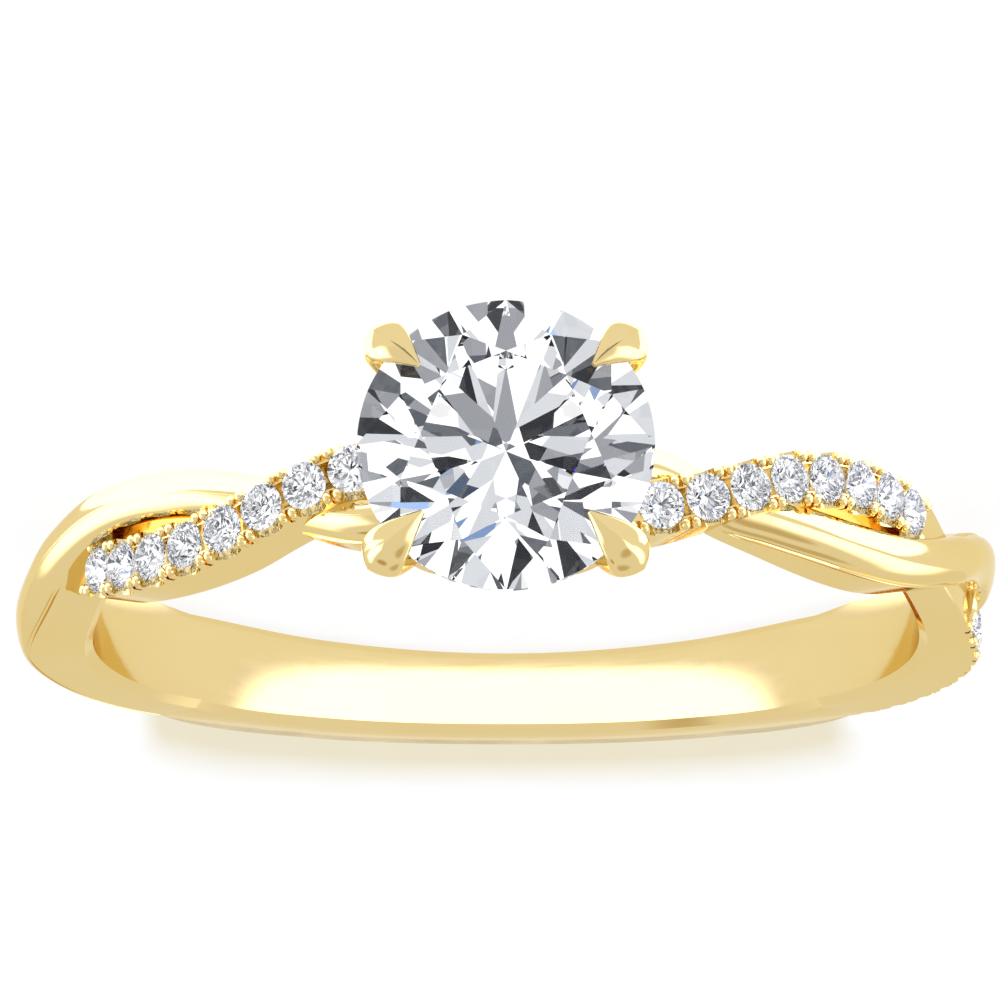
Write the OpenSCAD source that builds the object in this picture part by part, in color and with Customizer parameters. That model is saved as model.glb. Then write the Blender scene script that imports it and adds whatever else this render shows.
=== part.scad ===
// Twisted shank ring: a plain strand and a strand of small diamonds wind round each other on both sides
// of a round brilliant in a four-claw head. The ring lies on its side: Z is up, the head points to -Y,
// and the origin is the centre of the finger hole.

/* [Finger hole] */
// Inside diameter of the ring, 16.5 is a US size 6
bore_d = 16.5; // [14:0.1:22]
// Bevel along both edges of the finger hole
bore_bevel = 0.16; // [0.05:0.01:0.25]

/* [Plain back of the shank] */
// Thickness of the back, from the finger to the outside
back_t = 1.36; // [1.1:0.02:1.6]
// Width of the back at its narrowest
back_w = 1.7; // [1.5:0.05:2]
// How much the outer face of the back is rounded up
back_dome = 0.12; // [0.02:0.01:0.3]

/* [Twist] */
// Thickness of the twist where it is thickest
twist_t = 1.6; // [1.45:0.05:2]
// How far the middle of the diamond strand swings to each side
pave_sway = 0.72; // [0.5:0.02:0.9]
// How far the middle of the plain strand swings to each side
plain_sway = 0.58; // [0.4:0.02:0.8]
// Width of the diamond strand
pave_w = 1.1; // [1.05:0.02:1.3]
// Width of the plain strand
plain_w = 1; // [0.8:0.02:1.3]
// Height of the plain strand's rounded top above its flat sides
plain_dome = 0.42; // [0.2:0.02:0.6]
// Step between the rounded top and the flat sides of the plain strand
plain_ledge = 0.07; // [0.02:0.01:0.15]
// Thickness of the floor under the gaps between the strands
floor_t = 0.5; // [0.3:0.05:0.7]
// Width of that floor
floor_w = 0.8; // [0.5:0.05:1]

/* [Small diamonds] */
// Diameter of one small diamond
melee_d = 0.92; // [0.8:0.02:1]
// Distance between neighbours along the strand
melee_pitch = 0.99; // [0.95:0.01:1.2]
// Room between a diamond and the metal
seat_gap = 0.03; // [0.02:0.01:0.06]
// Diameter of one bead of metal that holds two neighbours
bead_d = 0.26; // [0.16:0.02:0.3]
// Height of a bead above the strand
bead_rise = 0.1; // [0.04:0.01:0.2]
// Diamonds between the head and the first crossing's end, on each side
front_count = 8; // [2:1:8]
// Diamonds on each side of the shank below that
side_count = 8; // [2:1:8]

/* [Centre stone] */
// Diameter of the round brilliant
stone_d = 5.6; // [4.5:0.1:6.5]
// Height of its girdle above the finger hole's wall
stone_rise = 4.35; // [4.2:0.05:5.5]
// Thickness of its girdle
girdle_t = 0.16; // [0.08:0.01:0.25]
// Angle of the crown's main facets
crown_angle = 34.5; // [30:0.5:38]
// Angle of the pavilion's main facets
pavilion_angle = 40.8; // [39:0.2:43]

/* [Claws] */
// Width of a claw where it is widest
claw_w = 0.95; // [0.7:0.05:1.2]
// Direction of a claw, counted from the line of the shank
claw_turn = 43; // [40:1:50]
// Thickness of the bars between the claws
rail_d = 0.5; // [0.3:0.05:0.8]

/* [Hidden] */
bore_r = bore_d / 2;
stone_r = stone_d / 2;
melee_r = melee_d / 2;
girdle_y = bore_r + stone_rise;
back_r = bore_r + back_t;
// Metal that reaches into the finger hole before the hole is cut
bore_allowance = 0.3;
// The ring rests on the stone's edge and on the back of the shank, which lifts its head by this angle
rest_tilt = atan((stone_r - back_w / 2) / (girdle_y + back_r));

// Stations of the twist: degrees from the head, then for each strand its place to the side as a share of
// its sway and its top as a share of the twist's thickness. The other half of the ring is the same turned
// half a turn about the head, so the places to the side change sign there.
ANGLE = 0;
PAVE_SIDE = 1;
PAVE_TOP = 2;
PLAIN_SIDE = 3;
PLAIN_TOP = 4;
TWIST = [
    [0, 0, 0.92, 0, 0.86],
    [6, 0.36, 0.95, -0.5, 0.88],
    [12, 0.56, 0.97, -0.82, 0.9],
    [18, 0.48, 0.98, -0.8, 0.84],
    [23, 0.17, 0.98, -0.45, 0.74],
    [28.5, -0.26, 0.96, 0.06, 0.7],
    [34, -0.68, 0.92, 0.42, 0.8],
    [40, -0.92, 0.88, 0.74, 0.92],
    [46, -1, 0.84, 0.93, 0.97],
    [52, -0.95, 0.79, 0.95, 0.99],
    [58, -0.78, 0.73, 0.76, 1],
    [64, -0.44, 0.66, 0.4, 1],
    [69, -0.06, 0.62, 0.02, 1],
    [75, 0.26, 0.62, -0.5, 0.99],
    [81, 0.44, 0.63, -0.84, 0.98],
    [88, 0.58, 0.68, -0.98, 0.955],
    [96, 0.67, 0.79, -1, 0.93],
    [105, 0.7, 0.81, -1, 0.9],
    [118, 0.68, 0.8, -0.97, 0.86],
    [130, 0.58, 0.8, -0.84, 0.83],
    [146, 0.3, 0.74, -0.5, 0.76],
];
// Stations of the plain back: degrees from the head, width as a share of the back's width, and thickness
// as a share of the back's thickness
WIDTH = 1;
TOP = 2;
BACK = [
    [99, 0.9, 0.5],
    [112, 1, 0.62],
    [124, 1.1, 0.82],
    [136, 1.17, 0.97],
    [154, 1.08, 1],
    [180, 1, 1],
];
// Stations of a claw from its root to its tip: distance from the stone's axis, height above the girdle,
// width and thickness, the first two as shares of the stone's radius and the others of the claw's width
OUT = 0;
UP = 1;
CLAW_WIDE = 2;
CLAW_THICK = 3;
CLAW = [
    [0.24, -1.2, 0.62, 0.6],
    [0.42, -0.96, 0.6, 0.6],
    [0.66, -0.66, 0.64, 0.6],
    [0.84, -0.46, 0.72, 0.64],
    [0.97, -0.3, 0.84, 0.72],
    [1.06, -0.13, 0.96, 0.8],
    [1.09, 0, 1, 0.78],
    [1.05, 0.1, 0.94, 0.66],
    [0.96, 0.165, 0.74, 0.48],
    [0.86, 0.2, 0.44, 0.3],
    [0.75, 0.225, 0.1, 0.12],
];
rail_level = -0.4 * stone_r;
rail_r = 0.74 * stone_r;
rail_corner = 4;
base_level = -0.98 * stone_r;
base_r = 0.42 * stone_r;
base_wire_d = 1.1 * rail_d;

// Degrees between neighbouring sections of the strands
section_step = 5;
pave_end = 140;
plain_end = 142.5;
first_melee = 17.6;
first_side_melee = 87;

// A smooth curve through the stations of a table. A column that changes sign across the head is odd.
function last(t) = len(t) - 1;
function row_at(t, a, i = 0) = i >= last(t) - 1 || t[i + 1][ANGLE] >= a ? i : row_at(t, a, i + 1);
function slope(t, c, i, odd) =
    i == 0 ? (odd ? t[1][c] / t[1][ANGLE] : 0)
    : i == last(t) ? 0
    : (t[i + 1][c] - t[i - 1][c]) / (t[i + 1][ANGLE] - t[i - 1][ANGLE]);
function between(t, c, a, odd) =
    let (
        i = row_at(t, a),
        w = t[i + 1][ANGLE] - t[i][ANGLE],
        u = min(1, max(0, (a - t[i][ANGLE]) / w)),
        m0 = slope(t, c, i, odd) * w,
        m1 = slope(t, c, i + 1, odd) * w
    )
    (1 + 2 * u) * pow(1 - u, 2) * t[i][c] + u * pow(1 - u, 2) * m0
        + pow(u, 2) * (3 - 2 * u) * t[i + 1][c] + pow(u, 2) * (u - 1) * m1;
function side_share(c, a) = sign(a) * between(TWIST, c, abs(a), true);
function top_share(c, a) = between(TWIST, c, abs(a), false);

function pave_side(a) = pave_sway * side_share(PAVE_SIDE, a);
function plain_side(a) = plain_sway * side_share(PLAIN_SIDE, a);
function pave_top(a) = bore_r + twist_t * top_share(PAVE_TOP, a);
function plain_top(a) = bore_r + twist_t * top_share(PLAIN_TOP, a);

// A point of the ring: degrees from the head towards -X, distance from the hole's axis, and height
function around(a, r, z) = [-r * sin(a), -r * cos(a), z];

// Closed solid through a row of sections that have the same number of points
module sweep(sections) {
    n = len(sections[0]);
    m = len(sections);
    sides = [for (i = [0 : m - 2]) for (j = [0 : n - 1])
        let (a = i * n + j, b = i * n + (j + 1) % n)
        each [[a, a + n, b + n], [a, b + n, b]]];
    first = [for (j = [0 : n - 1]) j];
    final = [for (j = [n - 1 : -1 : 0]) (m - 1) * n + j];
    polyhedron(points = [for (s = sections) each s], faces = concat(sides, [first, final]), convexity = 8);
}

// Outlines of the two strands and of the back, as [height, distance from the axis], going round once
function wall(half) = [
    [half - bore_bevel - bore_allowance, bore_r - bore_allowance],
    [half, bore_r + bore_bevel],
];
function mirrored(half_outline) = concat(
    half_outline,
    [for (i = [len(half_outline) - 1 : -1 : 0]) if (half_outline[i][0] > 0) [-half_outline[i][0], half_outline[i][1]]]
);
function pave_outline(top) = mirrored(concat(
    wall(pave_w / 2),
    [[pave_w / 2, top]]
));
function plain_outline(top, dome) = mirrored(concat(
    wall(plain_w / 2),
    [[plain_w / 2, top - dome]],
    [for (u = [0 : 45 : 90]) [(plain_w / 2 - plain_ledge * dome / plain_dome) * cos(u), top - dome * (1 - sin(u))]]
));
// The plain strand's rounded top flattens on its way to the back
flat_dome_share = 0.35;
function dome_at(a) =
    let (u = min(1, max(0, (abs(a) - 72) / 24)))
    plain_dome * (1 - (1 - flat_dome_share) * u * u * (3 - 2 * u));
function back_outline(half, top) = mirrored(concat(
    wall(half),
    [[half, top - back_dome], [half / 2, top - back_dome / 4], [0, top]]
));
function placed(outline, a, side) = [for (p = outline) around(a, p[1], side + p[0])];

module pave_strand() {
    sweep([for (a = [pave_end : -section_step : -pave_end]) placed(pave_outline(pave_top(a)), a, pave_side(a))]);
}

module plain_strand() {
    sweep([for (a = [plain_end : -section_step : -plain_end]) placed(plain_outline(plain_top(a), dome_at(a)), a, plain_side(a))]);
}

module plain_back() {
    first = BACK[0][ANGLE];
    sweep([for (a = [360 - first : -section_step : first])
        let (b = a > 180 ? 360 - a : a)
        placed(back_outline(back_w / 2 * between(BACK, WIDTH, b, false), bore_r + back_t * between(BACK, TOP, b, false)), a, 0)]);
}

// The small diamonds follow one another along the strand at equal distances
function strand_point(a) = around(a, pave_top(a), pave_side(a));
function next_angle(a, step, tries = 4) =
    tries == 0 ? a + step
    : next_angle(a, step * melee_pitch / norm(strand_point(a + step) - strand_point(a)), tries - 1);
function melee_angles(a, count) =
    count == 0 ? [] : concat([a], melee_angles(next_angle(a, 6), count - 1));
half_angles = concat(melee_angles(first_melee, front_count), melee_angles(first_side_melee, side_count));
all_angles = concat(half_angles, [for (a = half_angles) -a]);

// Frame of a small diamond: its table faces outwards and follows the rise of the strand
module on_strand(a, up = 0) {
    rise = atan((pave_top(a + 1) - pave_top(a - 1)) / (2 * PI / 180 * pave_top(a)));
    translate(around(a, pave_top(a), pave_side(a)))
        rotate([0, 0, -a])
            rotate([90, 0, 0])
                rotate([0, rise, 0])
                    translate([0, 0, up])
                        children();
}

// Outline of the small cut: eight crown facets round a table, and eight pavilion facets
melee_table = 0.56;
melee_crown = 0.13 * melee_d;
melee_girdle = 0.04 * melee_d;
melee_pavilion = 0.4 * melee_d;
function melee_ring(r, z) = [for (u = [22.5 : 45 : 360]) [r * cos(u), r * sin(u), z]];

module melee_cut() {
    rings = concat(
        melee_ring(melee_r * melee_table, melee_crown),
        melee_ring(melee_r, melee_girdle / 2),
        melee_ring(melee_r, -melee_girdle / 2),
        [[0, 0, -melee_pavilion]]
    );
    bands = [for (k = [0 : 1]) for (j = [0 : 7])
        [k * 8 + j, k * 8 + (j + 1) % 8, (k + 1) * 8 + (j + 1) % 8, (k + 1) * 8 + j]];
    point = [for (j = [0 : 7]) [16 + j, 16 + (j + 1) % 8, 24]];
    polyhedron(points = rings, faces = concat([[7, 6, 5, 4, 3, 2, 1, 0]], bands, point), convexity = 2);
}

// What is cut from the strand for one diamond: a cone under it, and room above
module melee_seat() {
    room = melee_r + seat_gap;
    deep = melee_pavilion + 2 * seat_gap;
    rotate([0, 0, 22.5]) {
        translate([0, 0, -deep])
            cylinder(r1 = 0, r2 = room, h = deep - melee_girdle, $fn = 8);
        translate([0, 0, -melee_girdle])
            cylinder(r = room, h = melee_r, $fn = 8);
    }
}

// A bead that narrows upwards, standing on the strand's edge
module bead() {
    translate([0, 0, -bead_rise])
        cylinder(d1 = bead_d, d2 = bead_d / 2, h = 2 * bead_rise, $fn = 5);
}

module beads_of(angles) {
    edge = pave_w / 2 - 0.6 * bead_d;
    before = 2 * angles[0] - next_angle(angles[0], 6);
    after = next_angle(angles[len(angles) - 1], 6);
    stops = concat([before], angles, [after]);
    for (i = [0 : len(stops) - 2])
        for (turn = [1, -1])
            for (side = [-1, 1])
                on_strand(turn * (stops[i] + stops[i + 1]) / 2)
                    translate([0, side * edge, 0])
                        bead();
}

module beads() {
    beads_of([for (i = [0 : front_count - 1]) half_angles[i]]);
    beads_of([for (i = [front_count : front_count + side_count - 1]) half_angles[i]]);
}

// Frame of the head: the origin is the middle of the girdle, and its Z points away from the finger
module on_head() {
    translate([0, -girdle_y, 0])
        rotate([90, 0, 0])
            children();
}

module claw() {
    sides = 8;
    sweep([for (i = [0 : len(CLAW) - 1])
        let (
            before = CLAW[max(0, i - 1)],
            after = CLAW[min(len(CLAW) - 1, i + 1)],
            way = [after[OUT] - before[OUT], after[UP] - before[UP]],
            across = [way[1], -way[0]] / norm(way)
        )
        [for (j = [0 : sides - 1])
            let (
                u = 360 * j / sides,
                thick = claw_w * CLAW[i][CLAW_THICK] / 2 * cos(u),
                wide = claw_w * CLAW[i][CLAW_WIDE] / 2 * sin(u)
            )
            [stone_r * CLAW[i][OUT] + across[0] * thick, wide, stone_r * CLAW[i][UP] + across[1] * thick]]]);
}

// The bars between the claws make one square loop with bowed sides and round corners
module rail() {
    steps = 20;
    n = 6;
    loop = [for (k = [0 : steps])
        let (
            u = 360 * k / steps,
            r = rail_r / pow(pow(abs(cos(u)), rail_corner) + pow(abs(sin(u)), rail_corner), 1 / rail_corner)
        )
        [for (j = [0 : n - 1])
            let (w = 360 * j / n, reach = r + rail_d / 2 * cos(w))
            [reach * cos(u), reach * sin(u), rail_level + rail_d / 2 * sin(w)]]];
    points = [for (k = [0 : steps - 1]) each loop[k]];
    faces = [for (k = [0 : steps - 1]) for (j = [0 : n - 1])
        let (k2 = (k + 1) % steps, j2 = (j + 1) % n)
        [k * n + j, k * n + j2, k2 * n + j2, k2 * n + j]];
    polyhedron(points = points, faces = faces, convexity = 4);
}

module head() {
    on_head() {
        difference() {
            for (side = [0, 180])
                for (turn = [-claw_turn, claw_turn])
                    rotate([0, 0, side + turn])
                        claw();
            brilliant(stone_r + seat_gap, seat_gap);
        }
        rail();
        translate([0, 0, base_level])
            rotate_extrude($fn = 16)
                translate([base_r, 0])
                    circle(d = base_wire_d, $fn = 6);
    }
}

// A round brilliant: table, 8 stars, 8 kites and 16 upper facets above the girdle, 16 lower facets and
// 8 mains below it. Each main plane starts at the girdle and slopes at its angle.
table_share = 0.57;
star_share = 0.5;
lower_share = 0.77;
function on_main(r, rho, off, angle, z0) = z0 + (r - rho * cos(off)) * tan(angle);
function polar(rho, u, z) = [rho * cos(u), rho * sin(u), z];
// Height at the girdle, halfway along a facet that has its corners at p, and at two points of the girdle
function facet_height(p, a, b, q) =
    let (n = cross(a - p, b - p))
    p[2] - (n[0] * (q[0] - p[0]) + n[1] * (q[1] - p[1])) / n[2];

module brilliant(r, grow = 0) {
    g = girdle_t / 2 + grow;
    table_r = table_share * r;
    table_flat = table_r * cos(22.5);
    star_r = table_flat + star_share * (r - table_flat);
    lower_r = (1 - lower_share) * r;
    table_z = on_main(r, table_r, 0, crown_angle, g);
    star_z = on_main(r, star_r, 22.5, crown_angle, g);
    lower_z = -on_main(r, lower_r, 22.5, pavilion_angle, g);
    culet_z = -on_main(r, 0, 0, pavilion_angle, g);
    function rim(i, level) =
        let (
            u = 11.25 * i,
            up = level > 0,
            p = up ? polar(star_r, 22.5 + 45 * floor(i / 4), star_z) : polar(lower_r, 22.5 + 45 * floor(i / 4), lower_z),
            q = polar(r, u, level)
        )
        i % 2 == 0 ? q : polar(r, u, facet_height(p, polar(r, u - 11.25, level), polar(r, u + 11.25, level), q));
    points = concat(
        [for (k = [0 : 7]) polar(table_r, 45 * k, table_z)],
        [for (k = [0 : 7]) polar(star_r, 45 * k + 22.5, star_z)],
        [for (i = [0 : 31]) rim(i, g)],
        [for (i = [0 : 31]) rim(i, -g)],
        [for (k = [0 : 7]) polar(lower_r, 45 * k + 22.5, lower_z)],
        [[0, 0, culet_z]]
    );
    upper = 16;
    lower = 48;
    foot = 80;
    culet = 88;
    faces = concat(
        [[7, 6, 5, 4, 3, 2, 1, 0]],
        [for (k = [0 : 7]) [k, (k + 1) % 8, 8 + k]],
        [for (k = [0 : 7]) [k, 8 + k, upper + 4 * k, 8 + (k + 7) % 8]],
        [for (k = [0 : 7]) for (h = [0 : 1])
            [8 + k, upper + (4 * k + 2 * h + 2) % 32, upper + 4 * k + 2 * h + 1, upper + 4 * k + 2 * h]],
        [for (i = [0 : 31]) [upper + i, upper + (i + 1) % 32, lower + (i + 1) % 32, lower + i]],
        [for (k = [0 : 7]) for (h = [0 : 1])
            [foot + k, lower + 4 * k + 2 * h, lower + 4 * k + 2 * h + 1, lower + (4 * k + 2 * h + 2) % 32]],
        [for (k = [0 : 7]) [culet, foot + (k + 7) % 8, lower + 4 * k, foot + k]]
    );
    polyhedron(points = points, faces = faces, convexity = 2);
}

module at_rest() {
    rotate([-rest_tilt, 0, 0])
        children();
}

// The thin round floor behind the gaps between the strands, turned a little so that its steps fall between
// the strands' own sections
module gap_floor() {
    rotate([0, 0, 0.7])
        rotate_extrude($fn = 60)
            translate([bore_r - bore_allowance / 2, -floor_w / 2])
                square([floor_t + bore_allowance / 2, floor_w]);
}

// The cast metal: floor, strands, beads and head in one mesh, and the finger hole cut through it as a true
// circle. A resize to nothing keeps every size and merges what it holds.
module gold_ring() {
    color("gold")
        at_rest()
            difference() {
                resize([0, 0, 0])
                    union() {
                        difference() {
                            union() {
                                pave_strand();
                                beads();
                                plain_strand();
                                plain_back();
                                gap_floor();
                            }
                            for (a = all_angles)
                                on_strand(a)
                                    melee_seat();
                        }
                        head();
                    }
                cylinder(r = bore_r, h = 4 * pave_w, center = true, $fn = 90);
            }
}

module centre_stone() {
    color("azure")
        at_rest()
            on_head()
                brilliant(stone_r);
}

module small_diamond(a) {
    color("white")
        at_rest()
            on_strand(a)
                melee_cut();
}

gold_ring();
centre_stone();
for (i = [0 : len(all_angles) - 1])
    small_diamond(all_angles[i]);
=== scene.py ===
# %% [markdown]
# # A twisted shank ring
# The ring is cast in yellow gold. A plain strand and a strand of small diamonds wind round each other on
# both sides of a round brilliant, which four claws hold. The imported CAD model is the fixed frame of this
# scene: it gives the place and the size of everything, and the pieces below are finer versions of its solids.

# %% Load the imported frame
import math

import bmesh
import bpy
import numpy as np
from mathutils import Matrix, Vector


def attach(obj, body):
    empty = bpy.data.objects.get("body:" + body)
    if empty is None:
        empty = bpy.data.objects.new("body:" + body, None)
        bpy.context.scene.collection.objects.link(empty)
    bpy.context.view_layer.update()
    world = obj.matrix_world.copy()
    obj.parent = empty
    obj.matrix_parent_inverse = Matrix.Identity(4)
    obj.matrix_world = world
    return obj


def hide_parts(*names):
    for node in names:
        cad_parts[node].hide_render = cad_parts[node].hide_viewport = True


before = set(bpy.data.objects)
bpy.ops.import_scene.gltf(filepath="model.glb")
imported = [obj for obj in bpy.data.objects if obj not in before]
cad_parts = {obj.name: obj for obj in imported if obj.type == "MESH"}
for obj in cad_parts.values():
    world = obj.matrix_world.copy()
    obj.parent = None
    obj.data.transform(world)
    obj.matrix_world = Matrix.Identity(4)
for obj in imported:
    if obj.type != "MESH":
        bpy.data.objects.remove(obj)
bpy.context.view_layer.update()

# %% [markdown]
# ## Sizes
# A jeweller works in millimetres, so the sizes below do too, and one matrix turns the finished meshes into
# metres. The frame of the ring has its origin in the middle of the finger hole, the hole's axis along Z and
# the head towards -Y. The ring rests on the edge of its stone and on the back of its shank, so the last step
# also tilts it by a few degrees.

# %% Sizes of the ring in millimetres
BORE_R = 8.25
BORE_BEVEL = 0.16
BACK_T = 1.36
BACK_W = 1.7
BACK_DOME = 0.12
TWIST_T = 1.6
PAVE_SWAY = 0.72
PLAIN_SWAY = 0.58
PAVE_W = 1.1
PLAIN_W = 1.0
PLAIN_DOME = 0.42
LEDGE = 0.05
FLAT_DOME_SHARE = 0.35
FLOOR_T = 0.8
FLOOR_W = 0.8
MELEE_R = 0.46
MELEE_GIRDLE = 0.035
MELEE_PITCH = 0.99
FIRST_MELEE = 17.6
FIRST_SIDE_MELEE = 87.0
STONES_IN_ROW = 8
SIDE_SINK = 0.07
STONE_R = 2.8
GIRDLE_Y = BORE_R + 4.35
GIRDLE_T = 0.16
CROWN_ANGLE = 34.5
PAVILION_ANGLE = 40.8
CLAW_W = 0.95
CLAW_TURN = 41.6
RAIL_D = 0.5

REST_TILT = math.atan((STONE_R - BACK_W / 2) / (GIRDLE_Y + BORE_R + BACK_T))
MM = 0.001
TO_WORLD = Matrix.Rotation(-REST_TILT, 4, "X") @ Matrix.Scale(MM, 4)
print("the head is lifted by", round(math.degrees(REST_TILT), 3), "degrees")

# %% [markdown]
# ## The run of the two strands
# Each strand swings from side to side and rises and falls over the other one. A few stations, judged from the
# photograph, say where it is, and a smooth curve joins them. The other half of the ring is the same turned
# half a turn about the head, so the places to the side change sign there.

# %% Stations of the twist, the back and a claw
ANGLE, PAVE_SIDE, PAVE_TOP, PLAIN_SIDE, PLAIN_TOP = range(5)
TWIST = [
    [0, 0, 0.92, 0, 0.86],
    [6, 0.36, 0.95, -0.5, 0.88],
    [12, 0.56, 0.97, -0.82, 0.9],
    [18, 0.48, 0.98, -0.8, 0.84],
    [23, 0.17, 0.98, -0.45, 0.74],
    [28.5, -0.26, 0.96, 0.06, 0.7],
    [34, -0.68, 0.92, 0.42, 0.8],
    [40, -0.92, 0.88, 0.74, 0.92],
    [46, -1, 0.84, 0.93, 0.97],
    [52, -0.95, 0.79, 0.95, 0.99],
    [58, -0.78, 0.73, 0.76, 1],
    [64, -0.44, 0.66, 0.4, 1],
    [69, -0.06, 0.62, 0.02, 1],
    [75, 0.26, 0.62, -0.5, 0.99],
    [81, 0.44, 0.63, -0.84, 0.98],
    [88, 0.58, 0.68, -0.98, 0.955],
    [96, 0.67, 0.79, -1, 0.93],
    [105, 0.7, 0.81, -1, 0.9],
    [118, 0.68, 0.8, -0.97, 0.86],
    [130, 0.58, 0.8, -0.84, 0.83],
    [146, 0.3, 0.74, -0.5, 0.76],
]
WIDTH, TOP = 1, 2
BACK = [[99, 0.9, 0.5], [112, 1, 0.62], [124, 1.1, 0.82], [136, 1.17, 0.97], [154, 1.08, 1], [180, 1, 1]]
OUT, UP, CLAW_WIDE, CLAW_THICK = range(4)
CLAW = [
    [0.24, -1.2, 0.62, 0.6],
    [0.42, -0.96, 0.6, 0.6],
    [0.66, -0.66, 0.64, 0.6],
    [0.84, -0.46, 0.72, 0.64],
    [0.97, -0.3, 0.84, 0.72],
    [1.06, -0.13, 0.96, 0.8],
    [1.09, 0, 1, 0.78],
    [1.05, 0.1, 0.94, 0.66],
    [0.96, 0.165, 0.74, 0.48],
    [0.86, 0.2, 0.44, 0.3],
    [0.75, 0.225, 0.1, 0.12],
]
print(len(TWIST), "stations of the twist,", len(BACK), "of the back and", len(CLAW), "of a claw")


# %% A smooth curve through the stations of a table
def slope(table, column, i, odd):
    if i == 0:
        return table[1][column] / table[1][ANGLE] if odd else 0.0
    if i == len(table) - 1:
        return 0.0
    rise = table[i + 1][column] - table[i - 1][column]
    return rise / (table[i + 1][ANGLE] - table[i - 1][ANGLE])


def between(table, column, a, odd=False):
    """Value at the angle a. A column is odd if it changes sign at the head."""
    i = 0
    while i < len(table) - 2 and table[i + 1][ANGLE] < a:
        i += 1
    width = table[i + 1][ANGLE] - table[i][ANGLE]
    u = min(1.0, max(0.0, (a - table[i][ANGLE]) / width))
    leave = slope(table, column, i, odd) * width
    arrive = slope(table, column, i + 1, odd) * width
    start = (1 + 2 * u) * (1 - u) ** 2 * table[i][column] + u * (1 - u) ** 2 * leave
    return start + u * u * (3 - 2 * u) * table[i + 1][column] + u * u * (u - 1) * arrive


def pave_side(a):
    return math.copysign(PAVE_SWAY, a) * between(TWIST, PAVE_SIDE, abs(a), True)


def plain_side(a):
    return math.copysign(PLAIN_SWAY, a) * between(TWIST, PLAIN_SIDE, abs(a), True)


def pave_top(a):
    return BORE_R + TWIST_T * between(TWIST, PAVE_TOP, abs(a))


def plain_top(a):
    return BORE_R + TWIST_T * between(TWIST, PLAIN_TOP, abs(a))


def around(a, r, z):
    """Degrees from the head towards -X, distance from the hole's axis, and height."""
    return np.array([-r * math.sin(math.radians(a)), -r * math.cos(math.radians(a)), z])


print("top of the plain strand at the crossing:", round(plain_top(69), 3), "mm from the axis")

# %% [markdown]
# ## Solids by sweeping and by cutting
# The goldsmith draws a wire of the right section and bends it. Here the section is repeated every degree and
# the sections are joined to a closed mesh. Where one form is cut from another or soldered to it, the Boolean
# modifier with the Manifold solver does it, because it keeps the mesh closed and is fast.


# %% Helpers that make a closed mesh
def solid(name, points, faces):
    mesh = bpy.data.meshes.new(name)
    mesh.from_pydata([tuple(map(float, p)) for p in points], [], faces)
    bm = bmesh.new()
    bm.from_mesh(mesh)
    bmesh.ops.recalc_face_normals(bm, faces=bm.faces)
    bm.to_mesh(mesh)
    bm.free()
    made = bpy.data.objects.new(name, mesh)
    bpy.context.scene.collection.objects.link(made)
    return made


def sweep(name, sections, ring=False):
    n, m = len(sections[0]), len(sections)
    rows = range(m) if ring else range(m - 1)
    faces = [
        (i * n + j, (i + 1) % m * n + j, (i + 1) % m * n + (j + 1) % n, i * n + (j + 1) % n)
        for i in rows for j in range(n)
    ]
    if not ring:
        faces += [tuple(range(n)), tuple(range((m - 1) * n, m * n))]
    return solid(name, [p for s in sections for p in s], faces)


def shaped(body, *steps):
    """Cuts and joins other solids to body, in order, and removes them."""
    for operation, tool in steps:
        step = body.modifiers.new(operation, "BOOLEAN")
        step.operation, step.object, step.solver = operation, tool, "MANIFOLD"
    result = body.evaluated_get(bpy.context.evaluated_depsgraph_get())
    made = bpy.data.meshes.new_from_object(result)
    body.modifiers.clear()
    body.data = made
    for _, tool in steps:
        bpy.data.objects.remove(tool)
    return body


def joined(name, parts):
    """One object from solids that don't touch one another."""
    bm = bmesh.new()
    for part in parts:
        bm.from_mesh(part.data)
        bpy.data.objects.remove(part)
    mesh = bpy.data.meshes.new(name)
    bm.to_mesh(mesh)
    bm.free()
    made = bpy.data.objects.new(name, mesh)
    bpy.context.scene.collection.objects.link(made)
    return made


# %% Outlines of the strands, as place across the strand and distance from the axis
PAVE_FOOT, PLAIN_FOOT, BACK_FOOT = 0.3, 0.34, 0.27
PAVE_CHAMFER = 0.03
LEDGE_FADE = 0.2
BELOW_WALL, CUT_SHARE = range(2)
LEDGE_STEPS = [[0.08, 0], [0.075, 1], [0.04, 1], [0.035, 0], [0.012, 0], [0, 0.3], [-0.004, 1]]


def mirrored(half):
    return half + [(-x, r) for x, r in reversed(half) if x > 1e-9]


def foot(half, depth):
    """The bevel at the finger hole, carried on into the hole, where the drill removes it."""
    return [(half - BORE_BEVEL - depth, BORE_R - depth), (half, BORE_R + BORE_BEVEL)]


def pave_outline(top):
    half = PAVE_W / 2
    edge = [(half, top - PAVE_CHAMFER), (half - PAVE_CHAMFER, top), (0, top)]
    return mirrored(foot(half, PAVE_FOOT) + edge)


def plain_outline(top, dome, side):
    """The side that looks away from the other strand has a ledge with a fine line cut under it."""
    outer = min(1.0, max(0.0, abs(side) / LEDGE_FADE)) * dome / PLAIN_DOME
    half, low = PLAIN_W / 2, top - dome
    halves = []
    for share in (outer, 0.0) if side > 0 else (0.0, outer):
        cut = LEDGE * share
        edge = [(half - step[CUT_SHARE] * cut, low - step[BELOW_WALL]) for step in LEDGE_STEPS]
        arch = [math.radians(u) for u in range(6, 85, 6)]
        curve = [((half - cut) * math.cos(u), top - dome * (1 - math.sin(u))) for u in arch]
        halves.append(foot(half, PLAIN_FOOT) + edge + curve)
    right, left = halves
    return right + [(0, top)] + [(-x, r) for x, r in reversed(left)]


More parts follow.
